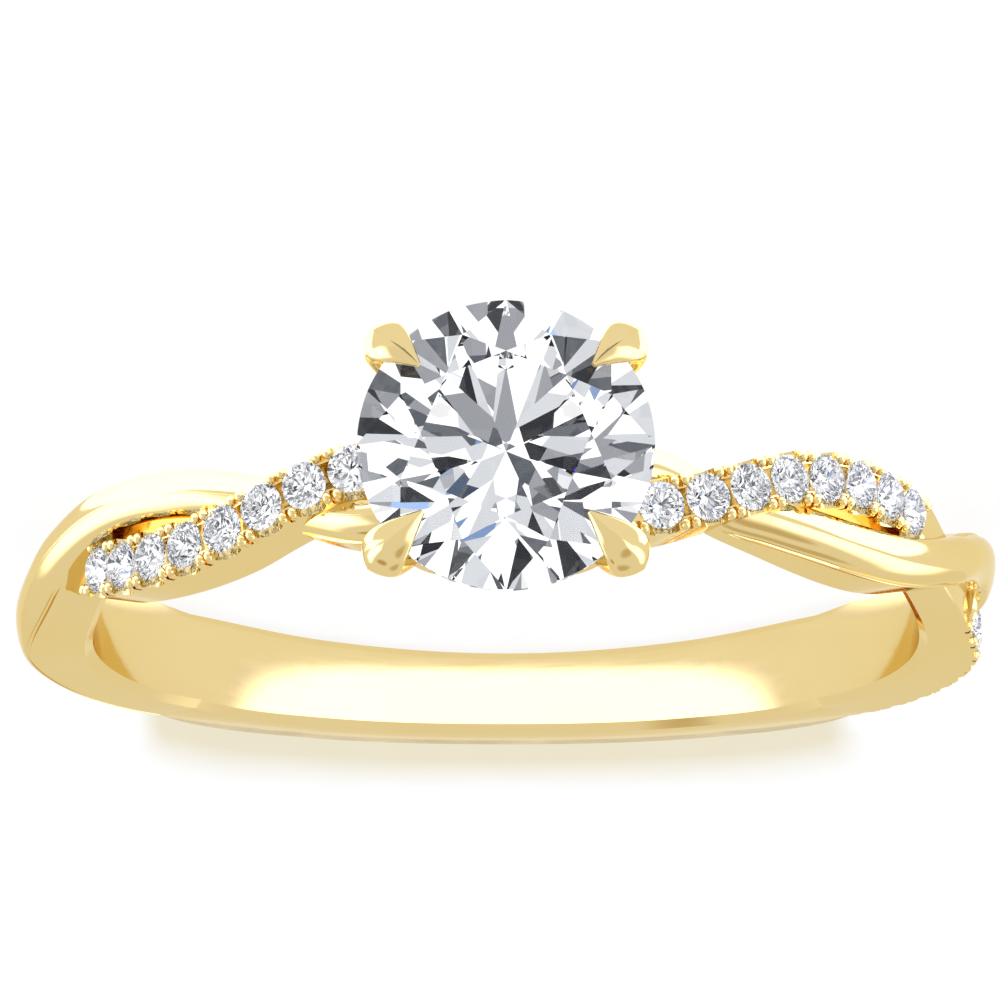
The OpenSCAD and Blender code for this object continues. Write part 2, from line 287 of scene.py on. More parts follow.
def back_outline(half, top):
    steps = [math.radians(u) for u in range(0, 91, 10)]
    curve = [(half * math.cos(u) ** 0.5, top - BACK_DOME * (1 - math.sin(u))) for u in steps]
    return mirrored(foot(half, BACK_FOOT) + curve[:-1] + [(0, top)])


def placed(outline, a, side):
    return [around(a, r, side + x) for x, r in outline]


# %% The two strands, the back and the floor between the strands
DOME_FADE_FROM, DOME_FADE_OVER = 72, 24
PAVE_END, PLAIN_END = 140, 142.5


def dome_at(a):
    """The plain strand's rounded top flattens on its way to the back."""
    u = min(1.0, max(0.0, (abs(a) - DOME_FADE_FROM) / DOME_FADE_OVER))
    return PLAIN_DOME * (1 - (1 - FLAT_DOME_SHARE) * u * u * (3 - 2 * u))


def pave_strand():
    angles = np.linspace(-PAVE_END, PAVE_END, 281)
    return sweep("pave_strand", [placed(pave_outline(pave_top(a)), a, pave_side(a)) for a in angles])


def plain_strand():
    def section(a):
        side = plain_side(a)
        return placed(plain_outline(plain_top(a), dome_at(a), side), a, side)

    return sweep("plain_strand", [section(a) for a in np.linspace(-PLAIN_END, PLAIN_END, 286)])


def plain_back():
    def section(a):
        b = min(a, 360 - a)
        half = BACK_W / 2 * between(BACK, WIDTH, b)
        return placed(back_outline(half, BORE_R + BACK_T * between(BACK, TOP, b)), a, 0)

    start = BACK[0][ANGLE]
    return sweep("plain_back", [section(a) for a in np.arange(start, 360.5 - start, 1)])


def gap_floor():
    inner, outer, half = BORE_R - 0.15, BORE_R + FLOOR_T, FLOOR_W / 2
    outline = [(-half, inner), (half, inner), (half, outer), (-half, outer)]
    return sweep("gap_floor", [placed(outline, a, 0) for a in np.arange(0.4, 360, 2)], ring=True)


# %% [markdown]
# ## Where the small diamonds sit
# The setter marks the stones along the strand at equal distances. Each has a frame of its own: one axis out
# of the strand, one along it and one across it. Between neighbours, posts of metal are left on both edges,
# and each post is split in two. The rows at the sides of the finger are set a little deeper: in the
# photograph the metal hides them almost wholly.


# %% Angles and frames of the small diamonds
def strand_point(a):
    return around(a, pave_top(a), pave_side(a))


def next_angle(a, step=6.0):
    for _ in range(4):
        step *= MELEE_PITCH / np.linalg.norm(strand_point(a + step) - strand_point(a))
    return a + step


def row_of(a, count):
    angles = [a]
    while len(angles) < count:
        angles.append(next_angle(angles[-1]))
    return angles


FRONT_ROW = row_of(FIRST_MELEE, STONES_IN_ROW)
SIDE_ROW = row_of(FIRST_SIDE_MELEE, STONES_IN_ROW)
STONE_ANGLES = FRONT_ROW + SIDE_ROW + [-a for a in FRONT_ROW + SIDE_ROW]


def strand_frame(a):
    """Matrix of a place on the pave strand: X along it, Y across it, Z out of it."""
    lift = (pave_top(a + 1) - pave_top(a - 1)) / (2 * math.pi / 180 * pave_top(a))
    out = around(a - math.degrees(math.atan(lift)), 1, 0)
    along = strand_point(a + 1) - strand_point(a - 1)
    along -= out * along.dot(out)
    along /= np.linalg.norm(along)
    rows = np.column_stack([along, np.cross(out, along), out, strand_point(a)])
    return Matrix([list(r) for r in rows] + [[0, 0, 0, 1]])


def junctions(row):
    """Angles halfway between neighbours, and one before the first and after the last stone."""
    stops = [2 * row[0] - next_angle(row[0])] + row + [next_angle(row[-1])]
    half = [(p + q) / 2 for p, q in zip(stops, stops[1:])]
    return half + [-a for a in half]


def gaps(row):
    """Angles halfway between neighbours only."""
    half = [(p + q) / 2 for p, q in zip(row, row[1:])]
    return half + [-a for a in half]


def depth_of(a):
    """How the stone at a is moved out of the strand: the side rows are sunk."""
    return (0, 0, -SIDE_SINK if abs(a) >= FIRST_SIDE_MELEE else 0)


FRONT_POSTS, SIDE_POSTS = junctions(FRONT_ROW), junctions(SIDE_ROW)
FRONT_ANGLES = FRONT_ROW + [-a for a in FRONT_ROW]
SIDE_ANGLES = SIDE_ROW + [-a for a in SIDE_ROW]
print(len(STONE_ANGLES), "small diamonds,", len(FRONT_POSTS + SIDE_POSTS), "posts")


# %% Turned and cut shapes, and their places on the strand
def turned(profile, sides):
    """Closed solid from a profile of radius and height that starts and ends on the axis."""
    points = [(0, 0, profile[0][1])]
    for r, z in profile[1:-1]:
        points += [(r * math.cos(u), r * math.sin(u), z) for u in np.linspace(0, 2 * math.pi, sides, False)]
    points.append((0, 0, profile[-1][1]))
    end, rings = len(points) - 1, len(profile) - 2
    faces = [(0, 1 + j, 1 + (j + 1) % sides) for j in range(sides)]
    for k in range(rings - 1):
        low, high = 1 + k * sides, 1 + (k + 1) * sides
        faces += [(low + j, low + (j + 1) % sides, high + (j + 1) % sides, high + j) for j in range(sides)]
    last = end - sides
    return points, faces + [(end, last + j, last + (j + 1) % sides) for j in range(sides)]


def prism(outline, half):
    """Closed solid from an outline in X and Z, as deep as half to both sides of Y."""
    n = len(outline)
    points = [(x, y, z) for y in (-half, half) for x, z in outline]
    sides = [(j, (j + 1) % n, n + (j + 1) % n, n + j) for j in range(n)]
    return points, sides + [tuple(range(n)), tuple(range(n, 2 * n))]


def on_strand(name, shape, angles, shift=(0, 0, 0)):
    points, faces = shape
    made = []
    for a in angles:
        place = strand_frame(a) @ Matrix.Translation(shift)
        made.append(solid(name, [place @ Vector(p) for p in points], faces))
    return joined(name, made)


# %% Cutters: seat, notch, slot and pocket
ABOVE = 0.5
SEAT_R = MELEE_R + 0.025
SEAT_RIM = -0.02
SEAT_CONE = [(0, -0.47), (SEAT_R * 0.97, -0.05), (SEAT_R, SEAT_RIM)]
SEAT = turned(SEAT_CONE + [(SEAT_R, 0.6), (0, 0.6)], 32)
UNDER_STONE = turned(SEAT_CONE + [(0, SEAT_RIM)], 32)
SLOT_SIDE = 0.46


def notch(half, deep):
    """A round notch in the strand's edge, below the stone's rim."""
    arch = np.linspace(0, math.pi, 15)
    outline = [(half * math.cos(u), SEAT_RIM - deep * math.sin(u)) for u in arch]
    return prism(outline + [(-half, ABOVE), (half, ABOVE)], PAVE_W / 2 + 0.05)


def slot(half, deep, across):
    """A saw cut that splits a post."""
    return prism([(-half, -deep), (half, -deep), (half, ABOVE), (-half, ABOVE)], across)


def pocket(half, deep, across):
    """A wedge cut between two neighbouring stones."""
    return prism([(-half, 0.02), (0, -deep), (half, 0.02), (half, ABOVE), (-half, ABOVE)], across)


NOTCH, SIDE_NOTCH = notch(0.3, 0.24), notch(0.2, 0.07)
SLOT, SIDE_SLOT = slot(0.04, 0.2, 0.16), slot(0.04, 0.1, 0.16)
POCKET = pocket(0.2, 0.36, 0.27)
print("each seat is", round(2 * SEAT_R, 2), "mm across and has", len(SEAT[1]), "faces")

# %% [markdown]
# ## The beads
# The top of each half post is pushed over the stone's edge and rounded with a cup-shaped tool. It ends up as
# a small bead, a little longer across the strand than along it. A long rounded post stands before each side
# row and guards its first stone.


# %% Rounded beads on the posts
BEAD_SIDE = PAVE_W / 2 - 0.13
BEAD_ALONG = 0.11
BEAD_R, BEAD_H, BEAD_STRETCH = 0.1, 0.11, 1.2
FRONT_BEAD, SIDE_BEAD = 1.0, 0.75


def ball(sides):
    steps = [math.radians(u) for u in range(-90, 91, 20)]
    return turned([(math.cos(u), math.sin(u)) for u in steps], sides)


def stretched(shape, x, y, z):
    points, faces = shape
    return [(x * p, y * q, z * r) for p, q, r in points], faces


def bead(size):
    return stretched(ball(12), size * BEAD_R, size * BEAD_STRETCH * BEAD_R, size * BEAD_H)


END_POST = stretched(ball(16), 0.09, 0.36, 0.15)
END_POST_AHEAD, END_POST_UP = 0.07, 0.02
print("a bead is", 2 * BEAD_R, "mm along the strand and has", len(bead(FRONT_BEAD)[1]), "faces")

# %% Cut the seats into the strand and add the beads
beads = [
    on_strand("bead", bead(size), angles, (along, side, BEAD_R * (size - 1)))
    for size, angles in ((FRONT_BEAD, FRONT_POSTS), (SIDE_BEAD, SIDE_POSTS))
    for along in (-BEAD_ALONG, BEAD_ALONG) for side in (-BEAD_SIDE, BEAD_SIDE)
]
end_posts = [
    on_strand("end_post", END_POST, [half * SIDE_POSTS[0]], (-END_POST_AHEAD * half, 0, END_POST_UP))
    for half in (1, -1)
]
slots = [
    on_strand("slot", shape, angles, (0, side, 0))
    for shape, angles in ((SLOT, FRONT_POSTS), (SIDE_SLOT, SIDE_POSTS)) for side in (-SLOT_SIDE, SLOT_SIDE)
]
shank = shaped(
    pave_strand(),
    ("DIFFERENCE", on_strand("seat", SEAT, FRONT_ANGLES)),
    ("DIFFERENCE", on_strand("side_seat", SEAT, SIDE_ANGLES, (0, 0, -SIDE_SINK))),
    ("DIFFERENCE", on_strand("notch", NOTCH, FRONT_ANGLES)),
    ("DIFFERENCE", on_strand("side_notch", SIDE_NOTCH, SIDE_ANGLES)),
    ("DIFFERENCE", on_strand("pocket", POCKET, gaps(FRONT_ROW) + gaps(SIDE_ROW))),
    *[("DIFFERENCE", s) for s in slots],
    *[("UNION", b) for b in beads],
    *[("UNION", p) for p in end_posts],
)
print("pave strand:", len(shank.data.polygons), "faces")

# %% [markdown]
# ## One casting
# On the real ring the strands, the floor and the back are one casting, and the finger hole is bored last. So
# the solids are joined here, the seats are cleared where another strand ran into them, and one long round
# cutter makes the hole, which leaves it smooth and round.


# %% Join the shank and bore the finger hole
def drill(r, half, sides=360):
    return solid("drill", *turned([(0, -half), (r, -half), (r, half), (0, half)], sides))


shank = shaped(
    shank,
    ("UNION", plain_strand()),
    ("UNION", plain_back()),
    ("UNION", gap_floor()),
    ("DIFFERENCE", on_strand("under_stone", UNDER_STONE, FRONT_ANGLES)),
    ("DIFFERENCE", on_strand("side_seat", SEAT, SIDE_ANGLES, (0, 0, -SIDE_SINK))),
    ("DIFFERENCE", drill(BORE_R, 5)),
)
shank.name = "twisted_shank"
print("shank:", len(shank.data.polygons), "faces")

# %% [markdown]
# ## A round brilliant
# A cutter grinds a round brilliant in tiers of facets: the table, eight stars, eight kites and sixteen upper
# facets above the girdle, and sixteen lower facets and eight mains below it. Every facet is flat, so its
# corners are worked out from its angle, and the round girdle is where the upper and lower facets meet the
# cylinder.

# %% Facets of the brilliant
TABLE_SHARE, STAR_SHARE, LOWER_SHARE = 0.57, 0.5, 0.77


def polar(rho, u, z):
    return np.array([rho * math.cos(math.radians(u)), rho * math.sin(math.radians(u)), z])


def facet_level(p, a, b, q):
    """Height at q of the plane through p, a and b."""
    n = np.cross(a - p, b - p)
    return p[2] - (n[0] * (q[0] - p[0]) + n[1] * (q[1] - p[1])) / n[2]


def brilliant(r, girdle, arc, grow=0.0, turn=0.0):
    """Points and faces, with arc steps along each facet that meets the girdle."""
    g = girdle / 2 + grow
    crown, pavilion = (math.tan(math.radians(angle)) for angle in (CROWN_ANGLE, PAVILION_ANGLE))
    tip = math.cos(math.radians(22.5))
    table_r = TABLE_SHARE * r
    star_r = table_r * tip + STAR_SHARE * (r - table_r * tip)
    lower_r = (1 - LOWER_SHARE) * r
    star_z = g + (r - star_r * tip) * crown
    lower_z = -g - (r - lower_r * tip) * pavilion
    points = [polar(table_r, 45 * k, g + (r - table_r) * crown) for k in range(8)]
    points += [polar(star_r, 45 * k + 22.5, star_z) for k in range(8)]
    count = 16 * arc
    for level, rho, z in ((g, star_r, star_z), (-g, lower_r, lower_z)):
        for i in range(count):
            u, half = 360 * i / count, i // arc
            p = polar(rho, 22.5 + 45 * (half // 2), z)
            ends = [polar(r, 22.5 * (half + e), level) for e in (0, 1)]
            q = polar(r, u, level)
            points.append(q if i % arc == 0 else polar(r, u, facet_level(p, *ends, q)))
    points += [polar(lower_r, 45 * k + 22.5, lower_z) for k in range(8)]
    points.append(np.array([0, 0, -g - r * pavilion]))
    rim, base, low = 16, 16 + count, 16 + 2 * count
    faces = [tuple(range(8))]
    for k in range(8):
        faces.append((k, (k + 1) % 8, 8 + k))
        faces.append((k, 8 + k, rim + 2 * arc * k, 8 + (k - 1) % 8))
        faces.append((low + 8, low + (k - 1) % 8, base + 2 * arc * k, low + k))
        for h in (0, 1):
            edge = [(2 * arc * k + arc * h + i) % count for i in range(arc + 1)]
            faces.append((8 + k, *[rim + i for i in edge]))
            faces.append((low + k, *[base + i for i in edge]))
    for i in range(count):
        faces.append((rim + i, rim + (i + 1) % count, base + (i + 1) % count, base + i))
    spin = np.array(Matrix.Rotation(math.radians(turn), 3, "Z"))
    return [spin @ p for p in points], faces


ON_HEAD = Matrix.Translation((0, -GIRDLE_Y, 0)) @ Matrix.Rotation(math.radians(90), 4, "X")
stone_points, stone_faces = brilliant(STONE_R, GIRDLE_T, 8)
centre = solid("centre_brilliant", [ON_HEAD @ Vector(p) for p in stone_points], stone_faces)
print("centre stone:", len(stone_faces), "faces,", round(STONE_R * 2, 2), "mm across")

# %% [markdown]
# ## The head
# Four claws rise from the shank, lean outwards to the stone's edge and fold over it in a pointed drop with a
# crease along its back. A bar joins them halfway up and a small round one near the root. The claws are swept
# along a smooth curve, and the stone itself cuts the notch in which it sits.


# %% Claws
CREASE = 0.33
CLAW_OUT = 0.017
UPPER_REACH, LOWER_REACH = -0.027, 0.014
CLAWS_UP = 0.06


def claw_path(s):
    """Row of the claw's table at s, from 0 at the root to 1 at the tip."""
    spot = s * (len(CLAW) - 1)
    i = min(int(spot), len(CLAW) - 2)
    u = spot - i
    p0, p1, p2, p3 = (np.array(CLAW[min(max(i + k, 0), len(CLAW) - 1)]) for k in (-1, 0, 1, 2))
    return p1 + 0.5 * u * (p2 - p0 + u * (2 * p0 - 5 * p1 + 4 * p2 - p3 + u * (3 * (p1 - p2) + p3 - p0)))


def claw_section(s, reach):
    """Rounded, with a crease along the back that begins a third of the way up."""
    row, way = claw_path(s), claw_path(min(1, s + 0.01)) - claw_path(max(0, s - 0.01))
    across = np.array([way[UP], -way[OUT]]) / math.hypot(way[OUT], way[UP])
    crease = CREASE * min(1, max(0, (s - 0.3) / 0.2))
    outward = CLAW_OUT + reach * max(0, (s - 0.6) / 0.4)
    points = []
    for u in np.linspace(0, 2 * math.pi, 48, False):
        c, w = math.cos(u), math.sin(u)
        rise = c if c < 0 else (1 - crease) * c + crease * (1 - abs(w))
        height = CLAW_W * row[CLAW_THICK] / 2 * rise
        spot = np.array([row[OUT] + outward, row[UP]]) * STONE_R + across * height
        points.append((spot[0], CLAW_W * row[CLAW_WIDE] / 2 * w, spot[1]))
    return points


def claw(turn):
    """The two claws on the upper side reach a little further over the stone than the other two."""
    reach = UPPER_REACH if math.sin(math.radians(turn)) > 0 else LOWER_REACH
    place = Matrix.Translation((0, 0, CLAWS_UP)) @ ON_HEAD @ Matrix.Rotation(math.radians(turn), 4, "Z")
    return sweep("claw", [[place @ Vector(p) for p in claw_section(s, reach)] for s in np.linspace(0, 1, 81)])


CLAW_TURNS = [side + turn for side in (0, 180) for turn in (-CLAW_TURN, CLAW_TURN)]
print("claws at", CLAW_TURNS, "degrees")


# %% The bars between the claws
def bar(name, path_r, level, thick, steps):
    def section(u):
        r = path_r(u)
        turns = np.linspace(0, 2 * math.pi, 16, False)
        points = [((r + thick / 2 * math.cos(w)), level + thick / 2 * math.sin(w)) for w in turns]
        return [ON_HEAD @ Vector((q * math.cos(u), q * math.sin(u), z)) for q, z in points]

    return sweep(name, [section(u) for u in np.linspace(0, 2 * math.pi, steps, False)], ring=True)


RAIL_OUT, RAIL_LEVEL = 0.74 * STONE_R, -0.4 * STONE_R
BASE_OUT, BASE_LEVEL = 0.42 * STONE_R, -0.98 * STONE_R
BASE_D = 1.1 * RAIL_D
CENTRE_ROOM = 0.02


def square_loop(u):
    """Distance from the axis on a square with bowed sides and round corners."""
    return RAIL_OUT / (abs(math.cos(u)) ** 4 + abs(math.sin(u)) ** 4) ** 0.25


rail = bar("rail", square_loop, RAIL_LEVEL, RAIL_D, 96)
base_ring = bar("base_ring", lambda u: BASE_OUT, BASE_LEVEL, BASE_D, 64)
room_points, room_faces = brilliant(STONE_R + CENTRE_ROOM, GIRDLE_T, 8, grow=CENTRE_ROOM)
centre_room = solid("centre_room", [ON_HEAD @ Vector(p) for p in room_points], room_faces)
first_claw, *other_claws = [claw(turn) for turn in CLAW_TURNS]
head = shaped(
    first_claw,
    *[("UNION", other) for other in other_claws],
    ("UNION", rail),
    ("UNION", base_ring),
    ("DIFFERENCE", centre_room),
)
head.name = "four_claw_head"
print("head:", len(head.data.polygons), "faces")

# %% [markdown]
# ## Into place
# The meshes are in the ring's own frame and in millimetres. The matrix goes into the mesh, so that each
# object keeps an origin at the frame's own. The gold gets smooth normals with sharp edges where it was cut.
# Before that, each small stone cuts its own room out of the gold, as the setter's burr does, so the beads lie
# on the stones and don't run into them. Each stone is turned a little further than the last one, because a
# setter doesn't line up their facets.


# %% Rooms for the small stones
ROOM = 0.008
STONE_TWIST = 37
stone_rooms = []
for number, a in enumerate(STONE_ANGLES, 1):
    room = brilliant(MELEE_R + ROOM, MELEE_GIRDLE, 3, ROOM, STONE_TWIST * number)
    stone_rooms.append(on_strand("stone_room", room, [a], depth_of(a)))
shank = shaped(shank, ("DIFFERENCE", joined("stone_rooms", stone_rooms)))
print("shank with room for the stones:", len(shank.data.polygons), "faces")


# %% Turn the gold and the centre stone into the frame
def set_down(piece, sharp=None):
    piece.data.transform(TO_WORLD)
    if sharp is None:
        piece.data.shade_flat()
    else:
        piece.data.shade_smooth()
        piece.data.set_sharp_from_angle(angle=math.radians(sharp))
    piece.data.update()


set_down(shank, 32)
set_down(head, 38)
set_down(centre)
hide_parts("gold_ring")
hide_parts("gold_ring")
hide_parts("centre_stone")
for piece, finish in ((shank, "gold"), (head, "gold"), (centre, "diamond")):
    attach(piece, "root")
print("gold ring and centre stone are in place")

# %% Small brilliants share one mesh
pattern = solid("small_brilliant", *brilliant(MELEE_R, MELEE_GIRDLE, 3))
small_cut = pattern.data
small_cut.shade_flat()
bpy.data.objects.remove(pattern)
melee = []
for number, a in enumerate(STONE_ANGLES, 1):
    gem = bpy.data.objects.new(f"small_brilliant_{number:02d}", small_cut)
    bpy.context.scene.collection.objects.link(gem)
    depth, spin = Matrix.Translation(depth_of(a)), Matrix.Rotation(math.radians(STONE_TWIST * number), 4, "Z")
    gem.matrix_world = TO_WORLD @ strand_frame(a) @ depth @ spin
    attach(gem, "root")
    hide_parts(f"small_diamond_{number:02d}")
    melee.append(gem)
print(len(melee), "small brilliants")

# %% [markdown]
# ## Polished gold
# Eighteen carat gold is a metal, so nearly all its colour is in its reflections. A buffing wheel leaves very
# fine hairlines and a few softer spots, so a noise stretched along one way changes the roughness a little and
# a very weak bump moves the reflections. A second noise, much coarser, changes the colour slightly.


# %% Node helpers
def fresh(material):
    material.use_nodes = True
    material.node_tree.nodes.clear()
    return material.node_tree


def node(tree, kind, **settings):
    made = tree.nodes.new(kind)
    for key, value in settings.items():
        setattr(made, key, value)
    return made


def feed(tree, target, value):
    """Links an output, or sets a plain value, on an input socket."""
    if isinstance(value, bpy.types.NodeSocket):
        tree.links.new(value, target)
    else:
        target.default_value = value


def math_node(tree, operation, *values):
    made = node(tree, "ShaderNodeMath", operation=operation)
    for socket, value in zip(made.inputs, values):
        feed(tree, socket, value)
    return made.outputs[0]


def ramp(tree, factor, *stops):
    made = node(tree, "ShaderNodeValToRGB")
    feed(tree, made.inputs[0], factor)
    elements = made.color_ramp.elements
    while len(elements) < len(stops):
        elements.new(0.5)
    for element, (spot, colour) in zip(elements, stops):
        element.position = spot
        element.color = (*colour, 1) if isinstance(colour, tuple) else (colour, colour, colour, 1)
    return made.outputs[0]


# %% The gold
def noise(tree, where, scale, detail=2.0):
    made = node(tree, "ShaderNodeTexNoise")
    if where is not None:
        feed(tree, made.inputs["Vector"], where)
    made.inputs["Scale"].default_value = scale
    made.inputs["Detail"].default_value = detail
    return made.outputs["Fac"]


def polished_gold():
    material = bpy.data.materials.new("polished_yellow_gold")
    tree = fresh(material)
    where = node(tree, "ShaderNodeTexCoord").outputs["Object"]
    stretch = node(tree, "ShaderNodeMapping")
    feed(tree, stretch.inputs["Vector"], where)
    stretch.inputs["Scale"].default_value = (900, 900, 9000)
    hairlines = noise(tree, stretch.outputs[0], 1.0, 6.0)
    clouds = noise(tree, where, 420.0, 3.0)
    bump = node(tree, "ShaderNodeBump")
    bump.inputs["Strength"].default_value = 0.04
    bump.inputs["Distance"].default_value = 0.00001
    feed(tree, bump.inputs["Height"], hairlines)
    shader = node(tree, "ShaderNodeBsdfPrincipled")
    shader.inputs["Metallic"].default_value = 1.0
    colour = ramp(tree, clouds, (0.3, (0.815, 0.63, 0.29)), (0.7, (0.83, 0.65, 0.305)))
    feed(tree, shader.inputs["Base Color"], colour)
    shader.inputs["Specular Tint"].default_value = (0.93, 0.85, 0.62, 1)
    feed(tree, shader.inputs["Roughness"], ramp(tree, hairlines, (0.3, 0.07), (0.75, 0.13)))
    feed(tree, shader.inputs["Normal"], bump.outputs[0])
    feed(tree, node(tree, "ShaderNodeOutputMaterial").inputs[0], shader.outputs[0])
    return material


gold = polished_gold()
for piece in (shank, head):
    piece.visible_transmission = False
    piece.data.materials.clear()
    piece.data.materials.append(gold)
print("gold on", shank.name, "and", head.name)

# %% [markdown]
# ## Diamond
# A diamond is clear and bends light more than most gems do, so the shader is a smooth glass with an index of
# 2.42. Its play of black and white comes from its flat facets. A very weak noise tints a little of it, and
# the small stones have the faint haze of facets that are polished less carefully.


# %% The diamond
def clear_diamond(name, haze):
    material = bpy.data.materials.new(name)
    tree = fresh(material)
    tint = noise(tree, node(tree, "ShaderNodeTexCoord").outputs["Object"], 600.0)
    shader = node(tree, "ShaderNodeBsdfPrincipled")
    colour = ramp(tree, tint, (0.35, (0.985, 0.99, 1.0)), (0.65, (1.0, 1.0, 1.0)))
    feed(tree, shader.inputs["Base Color"], colour)
    shader.inputs["Roughness"].default_value = haze
    shader.inputs["IOR"].default_value = 2.42
    shader.inputs["Transmission Weight"].default_value = 1.0
    shader.inputs["Specular Tint"].default_value = (0.12, 0.12, 0.12, 1)
    feed(tree, node(tree, "ShaderNodeOutputMaterial").inputs[0], shader.outputs[0])
    return material


CLEAR, FAINT_HAZE = 0.0, 0.05
finishes = (centre.data, "clear_diamond", CLEAR), (small_cut, "small_clear_diamond", FAINT_HAZE)
for mesh, name, haze in finishes:
    mesh.materials.clear()
    mesh.materials.append(clear_diamond(name, haze))
print("diamond on", 1 + len(melee), "stones")

# %% [markdown]
# ## The table under the ring
# The ring lies on a white lit table, so nearly everything round it is white and only a faint warm shadow
# shows. The table glows by itself in a warm tone, and the rest of its brightness comes from the front light,
# which the ring takes away where its shadow falls. Four cards lie on the table, which only the gold sees:
# three bright ones before the ring, in its hole and to one side, and a grey one before the head. A
# photographer slips such cards under a ring to draw the bright and dark bands on its metal. The grey card
# is painted shade: it stands in for the table's shade under the head, and the claws show it as dark bands.

# %% Table
TABLE_HALF = 0.6
WARM_GLOW = (0.685, 0.625, 0.45, 1)
ring_low = min(v.co.z for piece in (shank, head, centre) for v in piece.data.vertices)


def flat(name, x, y, z):
    corners = [(x[0], y[0], z), (x[1], y[0], z), (x[1], y[1], z), (x[0], y[1], z)]
    return solid(name, corners, [(0, 1, 2, 3)])


floor = flat("white_table", (-TABLE_HALF, TABLE_HALF), (-TABLE_HALF, TABLE_HALF), ring_low)


def lit_table():
    material = bpy.data.materials.new("lit_white_table")
    tree = fresh(material)
    glow, paint = node(tree, "ShaderNodeEmission"), node(tree, "ShaderNodeBsdfDiffuse")
    glow.inputs["Color"].default_value = WARM_GLOW
    glow.inputs["Strength"].default_value = 1.0
    feed(tree, paint.inputs["Color"], ramp(tree, noise(tree, None, 900.0), (0.3, 0.155), (0.7, 0.165)))
    both = node(tree, "ShaderNodeAddShader")
    feed(tree, both.inputs[0], glow.outputs[0])
    feed(tree, both.inputs[1], paint.outputs[0])
    feed(tree, node(tree, "ShaderNodeOutputMaterial").inputs[0], both.outputs[0])
    return material


floor.data.materials.append(lit_table())
floor.visible_transmission = False
print("the table is", round(ring_low / MM, 3), "mm from the middle of the finger hole")

# %% Cards on the table
CARD_UP, HEAD_SHADE_UP = 0.00001, 0.00002
FAR_EDGE_GLOW = 0.35
# the dim grey glow is painted shade, standing in for the table's shade under the head
BRIGHT_CARD, HEAD_SHADE_GLOW = (2.8, 2.8, 3.1), (0.5, 0.5, 0.5)


def card_glow(name, y, soft, colour):
    material = bpy.data.materials.new(name)
    tree = fresh(material)
    place = node(tree, "ShaderNodeSeparateXYZ")
    feed(tree, place.inputs[0], node(tree, "ShaderNodeTexCoord").outputs["Object"])
    fade = node(tree, "ShaderNodeMapRange", interpolation_type="SMOOTHSTEP")
    feed(tree, fade.inputs["Value"], place.outputs["Y"])
    fade.inputs["From Min"].default_value, fade.inputs["From Max"].default_value = y[1], y[1] - soft
    fade.inputs["To Min"].default_value, fade.inputs["To Max"].default_value = FAR_EDGE_GLOW, 1.0
    glow = node(tree, "ShaderNodeEmission")
    glow.inputs["Color"].default_value = (*colour, 1)
    feed(tree, glow.inputs["Strength"], fade.outputs["Result"])
    feed(tree, node(tree, "ShaderNodeOutputMaterial").inputs[0], glow.outputs[0])
    return material


def reflector(name, x, y, soft, colour, lift):
    """A card that only the gold sees, with a soft edge towards the back of the ring."""
    card = flat(name, x, y, ring_low + lift)
    card.data.materials.append(card_glow(name, y, soft, colour))
    for kind in ("camera", "diffuse", "transmission", "shadow"):
        setattr(card, "visible_" + kind, False)


reflector("front_reflector", (-0.025, 0.025), (-0.0128, -0.0035), 0.0001, BRIGHT_CARD, CARD_UP)
reflector("hole_reflector", (-0.008, 0.008), (-0.0035, 0.0052), 0.0012, BRIGHT_CARD, CARD_UP)
reflector("left_reflector", (0.025, 0.3), (-0.03, 0.01), 0.0012, BRIGHT_CARD, CARD_UP)
# painted shade: a dim card where the table lies in the head's shade, which the claws reflect as dark bands
reflector("shade_before_head", (-0.003, 0.003), (-0.022, -0.015), 0.001, HEAD_SHADE_GLOW, HEAD_SHADE_UP)
print("three bright cards and a grey one lie on the table")

# %% [markdown]
# ## Light
# The ring lies in a white tent. What the gold shows is the tent: a brighter wall on each side and three dim
# brown places high up, which draw the soft accents on the claws. What the stones show is a tent with dark
# places, because it is the dark places that make a diamond's facets stand out. So the world has one
# brightness for the camera, one for the gold and one for the stones.

# %% The tent's nodes
world = bpy.data.worlds.new("white_tent")
bpy.context.scene.world = world
world.use_nodes = True
sky = world.node_tree
sky.nodes.clear()
direction = node(sky, "ShaderNodeTexCoord").outputs["Generated"]
rays = node(sky, "ShaderNodeLightPath").outputs


def along(axis):
    """How much of the direction lies along an axis, from -1 to 1."""
    dot = node(sky, "ShaderNodeVectorMath", operation="DOT_PRODUCT")
    feed(sky, dot.inputs[0], direction)
    dot.inputs[1].default_value = axis
    return dot.outputs["Value"]


def smooth_step(value, low, high):
    made = node(sky, "ShaderNodeMapRange", interpolation_type="SMOOTHSTEP")
    feed(sky, made.inputs["Value"], value)
    made.inputs["From Min"].default_value, made.inputs["From Max"].default_value = low, high
    return made.outputs["Result"]


# %% The tent as the gold sees it
TENT_LEVEL = 0.93
WALL_TURN, WALL_HALF, WALL_SOFT, WALL_GLOW = range(4)
WALLS = [[88, 35, 14, 1.85], [-82, 47, 20, 1.5]]
WALL_FULL, WALL_END = 24.0, 44.0
SPOT_TURN, SPOT_UP, SPOT_HALF, SPOT_SOFT, SPOT_DARK = range(5)
DIM_SPOTS = [[-40, 60, 12, 12, 0.75], [-165, 62, 12, 12, 0.75], [114, 64, 8, 6, 1]]
BROWN = (0.62, 0.48, 0.25)
COOL_GAIN, COOL_OFFSET = 1.12, -0.11


